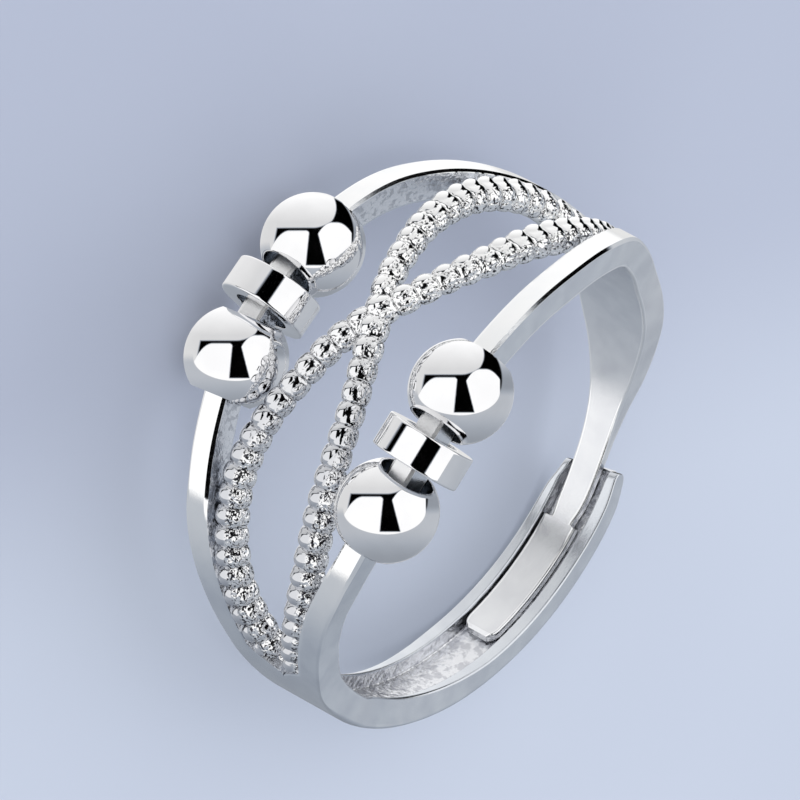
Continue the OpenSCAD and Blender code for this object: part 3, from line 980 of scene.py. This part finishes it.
def lineNode(tree, value, base, factor):
    return mathNode(tree, "MULTIPLY_ADD", value, factor, base)


def aboveNode(tree, value, edge, soft=0.015):
    # 0 below the edge, 1 above it
    return rangeNode(tree, mathNode(tree, "SUBTRACT", value, edge), -soft, soft)


def allOf(tree, *masks):
    total = masks[0]
    for mask in masks[1:]:
        total = mathNode(tree, "MULTIPLY", total, mask)
    return total


def notNode(tree, mask):
    return mathNode(tree, "SUBTRACT", 1.0, mask)


def belowPanelTop(tree, u, v, top, leftEnd, rightEnd):
    # 1 under a level top that falls by the square of the distance past either end
    pastLeft = mathNode(tree, "MINIMUM", mathNode(tree, "SUBTRACT", u, leftEnd[0]), 0.0)
    pastRight = mathNode(tree, "MAXIMUM", mathNode(tree, "SUBTRACT", u, rightEnd[0]), 0.0)
    edge = curveNode(tree, pastLeft, 0.0, leftEnd[1], top)
    edge = curveNode(tree, pastRight, 0.0, rightEnd[1], edge)
    return notNode(tree, aboveNode(tree, v, edge, mirrored["soft"]))


def overTableMask(tree, u, v):
    # 1 inside (u / reach)^2 + (v / down)^2 = 1, where reach differs left and right, and v
    # counts only below 0
    left, right, down = mirrored["oval"]
    onRight = mathNode(tree, "MAXIMUM", u, 0.0)
    across = mathNode(tree, "DIVIDE", u, left)
    across = mathNode(tree, "MULTIPLY_ADD", onRight, 1 / right - 1 / left, across)
    below = mathNode(tree, "DIVIDE", mathNode(tree, "MINIMUM", v, 0.0), down)
    oval = curveNode(tree, below, 0.0, 1.0, curveNode(tree, across, 0.0, 1.0, 0.0))
    return rangeNode(tree, oval, *mirrored["ovalEdge"])


def panelMask(tree, u, v, overTable):
    # Both panels under their tops, without the dark gap between them
    isRight = aboveNode(tree, u, 0.0)
    leftTop = belowPanelTop(tree, u, v, *mirrored["leftPanel"])
    rightTop = allOf(tree, isRight, belowPanelTop(tree, u, v, *mirrored["rightPanel"]))
    top = mathNode(tree, "MULTIPLY_ADD", notNode(tree, isRight), leftTop, rightTop)
    gapMiddle = lineNode(tree, v, *mirrored["gapMiddle"])
    fromGap = mathNode(tree, "ABSOLUTE", mathNode(tree, "SUBTRACT", u, gapMiddle))
    besideGap = aboveNode(tree, fromGap, lineNode(tree, v, *mirrored["gapHalf"]))
    gap = allOf(tree, notNode(tree, besideGap), aboveNode(tree, v, mirrored["gapBottom"]))
    return allOf(tree, overTable, top, notNode(tree, gap))


def ceilingLight(tree, u, v):
    # Above a bottom that rises with uu on the right, and left of a bulging end
    onRight = mathNode(tree, "MAXIMUM", u, 0.0)
    bottom = curveNode(tree, onRight, 0.0, 1.0, mirrored["ceilingBottom"])
    furthest, centre, fall = mirrored["ceilingEnd"]
    inEnd = notNode(tree, aboveNode(tree, u, curveNode(tree, v, centre, fall, furthest)))
    light = rangeNode(tree, v, *mirrored["overhead"], *studio["ceiling"], "LINEAR")
    return allOf(tree, aboveNode(tree, v, bottom, mirrored["soft"]), inEnd, light)


def rightWallLight(tree, u, v):
    # On the right, outside a circle that grows with v
    squares = curveNode(tree, v, 0.0, 1.0, curveNode(tree, u, 0.0, 1.0, 0.0))
    edge = rangeNode(tree, v, *mirrored["rightWall"], "LINEAR")
    outside = aboveNode(tree, mathNode(tree, "SQRT", squares), edge)
    light = rangeNode(tree, v, *mirrored["rightWallLight"], *studio["rightWall"])
    return allOf(tree, light, outside, aboveNode(tree, u, 0.0))


def studioBrightness(tree, u, v):
    # The brightest of panels, ceiling and left wall, and beside them the table and the right wall
    overTable = overTableMask(tree, u, v)
    panel = panelMask(tree, u, v, overTable)
    ceiling = ceilingLight(tree, u, v)
    onTable = allOf(tree, notNode(tree, overTable), rangeNode(tree, v, *mirrored["tableTop"]))
    offTable = notNode(tree, onTable)
    table = allOf(tree, onTable, rangeNode(tree, v, *mirrored["table"], *studio["table"]))
    wallEdge = lineNode(tree, v, *mirrored["leftWall"])
    leftWall = notNode(tree, aboveNode(tree, u, wallEdge, mirrored["leftWallSoft"]))
    leftWall = allOf(tree, leftWall, offTable, studio["leftWall"])
    rightWall = allOf(tree, rightWallLight(tree, u, v), notNode(tree, panel), offTable)
    rightWall = mathNode(tree, "MULTIPLY", rightWall, notNode(tree, ceiling))
    bright = mathNode(tree, "MULTIPLY", panel, studio["panel"])
    for part in (ceiling, leftWall):
        bright = mathNode(tree, "MAXIMUM", bright, part)
    for part in (table, rightWall):
        bright = mathNode(tree, "ADD", bright, part)
    return bright


def lampDirection(right, towards):
    # Along the floor to the right and away from the viewer, and up
    floorRight = np.array([right[0], right[1], 0])
    floorAway = np.array([-towards[0], -towards[1], 0])
    floorAway /= np.linalg.norm(floorAway)
    toRight, away, up = studio["lampPlace"]
    direction = floorRight * toRight + floorAway * away + np.array([0, 0, up])
    return direction / np.linalg.norm(direction)


def makeStudio(right, up, towards):
    # What the silver mirrors, drawn as a ball in front of the viewer would mirror it: h is the
    # unit of (direction + towards), and its shares along right and up are the place on the ball.
    # Everything else is lit by soft light from everywhere and one large lamp
    world = bpy.data.worlds.new("studio")
    bpy.context.scene.world = world
    world.use_nodes = True
    tree = world.node_tree
    tree.nodes.clear()
    direction = unitNode(tree, newNode(tree, "ShaderNodeTexCoord").outputs["Generated"])
    h = unitNode(tree, vectorNode(tree, "ADD", {0: direction, 1: towards})["Vector"])
    bright = studioBrightness(tree, dotNode(tree, h, right), dotNode(tree, h, up))
    untinted = rangeNode(tree, bright, *studio["tinted"])
    colour = mixColours(tree, untinted, studio["tint"], (1, 1, 1))
    colour = vectorNode(tree, "SCALE", {0: colour, "Scale": bright})["Vector"]
    mirror = newNode(tree, "ShaderNodeBackground", {"Color": colour}).outputs[0]
    fromLamp = dotNode(tree, direction, lampDirection(right, towards))
    lamp = rangeNode(tree, fromLamp, *studio["lampEdge"], 0.0, studio["lamp"])
    strength = mathNode(tree, "ADD", lamp, studio["light"])
    light = {"Color": (*studio["lightColour"], 1), "Strength": strength}
    soft = newNode(tree, "ShaderNodeBackground", light).outputs[0]
    glossy = newNode(tree, "ShaderNodeLightPath").outputs["Is Glossy Ray"]
    pick = newNode(tree, "ShaderNodeMixShader", {0: glossy, 1: soft, 2: mirror}).outputs[0]
    newNode(tree, "ShaderNodeOutputWorld", {"Surface": pick})


floorPaper = {
    "half": 400.0,  # of its width
    # the paper's colour outside the painted shadow, then inside it
    "near": (0.59, 0.64, 0.75),
    "far": (0.475, 0.515, 0.635),
    "slant": 0.25,  # of the line beyond which the painted shadow falls, to the right
    "paintedShadowEdge": (-0.0065, 0.003),  # metres from the ring's centre where the painted shadow starts and ends
    "clouds": 0.15,  # share of the change that is cloudy
    "cloudScale": 60.0,
    "cloudLevels": (0.3, 0.7),  # noise at which a cloud starts and is full
    "roughness": 0.9,
    "specular": 0.1,
}


def makeFloor(right, up):
    # A pale square under the ring, with a painted shadow beyond a soft slanting line
    corners = np.array([[-1, -1, 0], [1, -1, 0], [1, 1, 0], [-1, 1, 0]], float)
    material = bpy.data.materials.new("floorPaper")
    material.use_nodes = True
    tree = material.node_tree
    shader = tree.nodes["Principled BSDF"]
    place = newNode(tree, "ShaderNodeTexCoord").outputs["Object"]
    slanting = right * floorPaper["slant"] - up
    centre = float(ringCentre @ slanting) * mm
    start, end = (centre + distance for distance in floorPaper["paintedShadowEdge"])
    # painted shadow: the paper darkens beyond the slanting line, partly in clouds
    shade = rangeNode(tree, dotNode(tree, place, slanting), start, end)
    clouds = noiseNode(tree, place, floorPaper["cloudScale"], 1.0)
    clouds = rangeNode(tree, clouds, *floorPaper["cloudLevels"], 0.0, floorPaper["clouds"])
    shade = mathNode(tree, "MULTIPLY_ADD", shade, 1 - floorPaper["clouds"], clouds)
    paper = mixColours(tree, shade, floorPaper["far"], floorPaper["near"])
    finish = {
        "Base Color": paper,
        "Roughness": floorPaper["roughness"],
        "Specular IOR Level": floorPaper["specular"],
    }
    fill(tree, shader, finish)
    floor = makeMesh("floor", corners * floorPaper["half"], [np.arange(4)], [material])
    floor.visible_glossy = False


viewRight, viewUp, viewTowards = makeCamera()
makeStudio(viewRight, viewUp, viewTowards)
makeFloor(viewRight, viewUp)
bpy.context.scene.view_settings.view_transform = "Standard"
print("camera, floor and light made")
